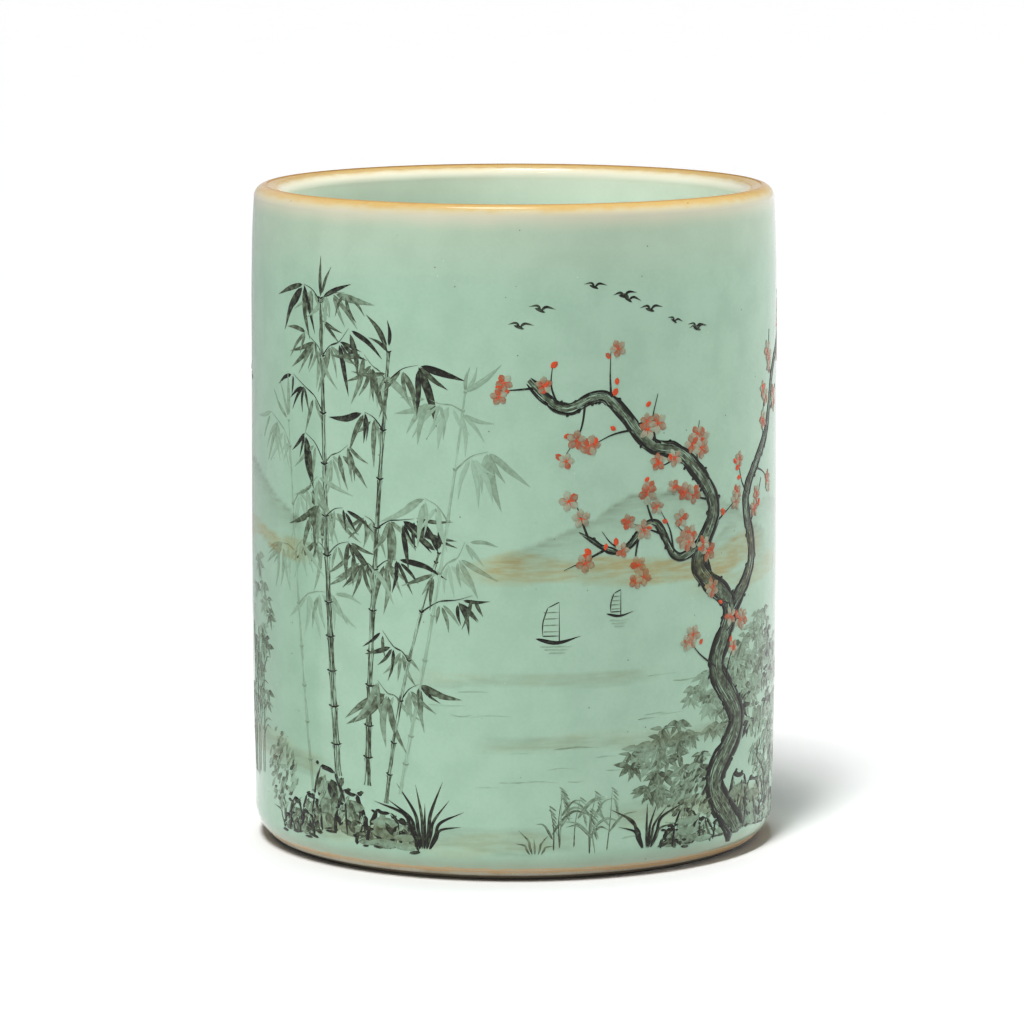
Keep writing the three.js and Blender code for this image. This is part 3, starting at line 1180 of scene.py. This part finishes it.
FLOOR_REACH = 8.0
PAPER_DARK, PAPER_PALE = shade(249, 249, 249), shade(252, 252, 252)
CARD = [(-0.11, -0.03, 0), (-0.11, 0.6, 0), (-0.11, 0.6, 0.25), (-0.11, -0.03, 0.25)]
CARD_DARK, CARD_PALE = shade(158, 158, 160), shade(166, 166, 168)
WALL_LIGHT = 0.6
CEILING_LIGHT = 0.05
LAMP_AWAY = 1.5
AIM = Vector((0, 0, 0.06))
# azimuth, elevation, power, width, whether the glaze mirrors it, whether it lights the floor
LAMPS = {
    "key_low": (-20.4, 62.4, 0.93, 7.2, False, True),
    "key_middle": (-20.4, 69.6, 0.93, 7.2, False, True),
    "key_high": (-20.4, 76.8, 0.93, 7.2, False, True),
    "top": (176, 86.4, 0.62, 6, False, True),
    "overhead": (-149, 81, 0.6, 18, True, False),
    "front_fill": (-35, 9, 1.5, 14, False, False),
    "right_fill": (115, 3, 1.6, 15, False, True),
    "right_high": (108, 42, 2.15, 15, False, False),
}

# The camera's place and aim, worked out from the photograph's outline of the pot
LENS = 186.0
SENSOR_WIDTH = 36.0
CAMERA_AWAY = 1.0145
CAMERA_HEIGHT = 0.2101
CAMERA_DOWN = 8.2691
CAMERA_TURN = 0.021


def plane(name, corners, material):
    """One flat sheet of the studio, from its corners in metres."""
    mesh = bpy.data.meshes.new(name)
    mesh.from_pydata(corners, [], [(0, 1, 2, 3)])
    mesh.materials.append(material)
    sheet = bpy.data.objects.new(name, mesh)
    bpy.context.scene.collection.objects.link(sheet)
    return sheet


def paper(name, dark, pale, roughness):
    """Matt paper with a faint grain."""
    sh = Shader(name)
    metres = sh.add("ShaderNodeTexCoord", {}, {}, "Object")
    grain = sh.noise(metres, 0.05, 2)
    return sh.finish(sh.blend(dark, pale, grain), roughness, grain, 0.01)


def lamp(name, azimuth, elevation, power, wide, mirrored, lit):
    """A far lamp at an azimuth from the camera's side, to the right, and an elevation, wide in degrees.
    One that isn't mirrored leaves no bright spot on the glaze. It lights what lit holds, or everything."""
    light = bpy.data.lights.new(name, "SUN")
    light.energy = power
    light.angle = math.radians(wide)
    across, up = math.radians(azimuth), math.radians(elevation)
    way = Vector((math.sin(across) * math.cos(up), -math.cos(across) * math.cos(up), math.sin(up)))
    shining = bpy.data.objects.new(name, light)
    shining.location = AIM + way * LAMP_AWAY
    shining.rotation_euler = (-way).to_track_quat("-Z", "Y").to_euler()
    shining.visible_camera = False
    shining.visible_glossy = mirrored
    shining.light_linking.receiver_collection = lit
    bpy.context.scene.collection.objects.link(shining)


def everything_but(sheet):
    """What is lit by a lamp that leaves one sheet alone."""
    held = bpy.data.collections.new("off_" + sheet.name)
    held.objects.link(sheet)
    held.collection_objects[0].light_linking.link_state = "EXCLUDE"
    return held


def room():
    """The room's own light: pale walls round about and a dim ceiling."""
    sh = Shader("white_room", bpy.data.worlds)
    up = sh.add("ShaderNodeTexCoord", {}, {}, "Generated").part(2)
    light = {"Color": (1.0, 1.0, 1.0, 1.0), "Strength": up.step(0.03, 0.4, WALL_LIGHT, CEILING_LIGHT)}
    sh.add("ShaderNodeOutputWorld", {}, {"Surface": sh.add("ShaderNodeBackground", {}, light)})
    bpy.context.scene.world = sh.material


def studio():
    """White paper in a pale room, under a high soft key from the front left and weaker fills.
    A grey card on the left shows in the glaze alone."""
    corners = [(x * FLOOR_REACH, y * FLOOR_REACH, 0) for x, y in ((-1, -1), (1, -1), (1, 1), (-1, 1))]
    floor = plane("floor", corners, paper("white_paper", PAPER_DARK, PAPER_PALE, 0.8))
    off_floor = everything_but(floor)
    card = plane("grey_card", CARD, paper("grey_card", CARD_DARK, CARD_PALE, 0.9))
    card.visible_camera = False
    card.visible_diffuse = False
    card.visible_shadow = False
    room()
    for name, (azimuth, elevation, power, wide, mirrored, on_floor) in LAMPS.items():
        lamp(name, azimuth, elevation, power, wide, mirrored, None if on_floor else off_floor)


def camera():
    lens = bpy.data.cameras.new("camera")
    lens.lens = LENS
    lens.sensor_width = SENSOR_WIDTH
    lens.sensor_fit = "HORIZONTAL"
    view = bpy.data.objects.new("camera", lens)
    view.location = (0, -CAMERA_AWAY, CAMERA_HEIGHT)
    view.rotation_euler = (math.radians(90 - CAMERA_DOWN), 0, math.radians(CAMERA_TURN))
    bpy.context.scene.collection.objects.link(view)
    bpy.context.scene.camera = view


camera()
studio()
lay_washes(coats_and_foot())
painting()
bpy.context.scene.view_settings.view_transform = "Standard"
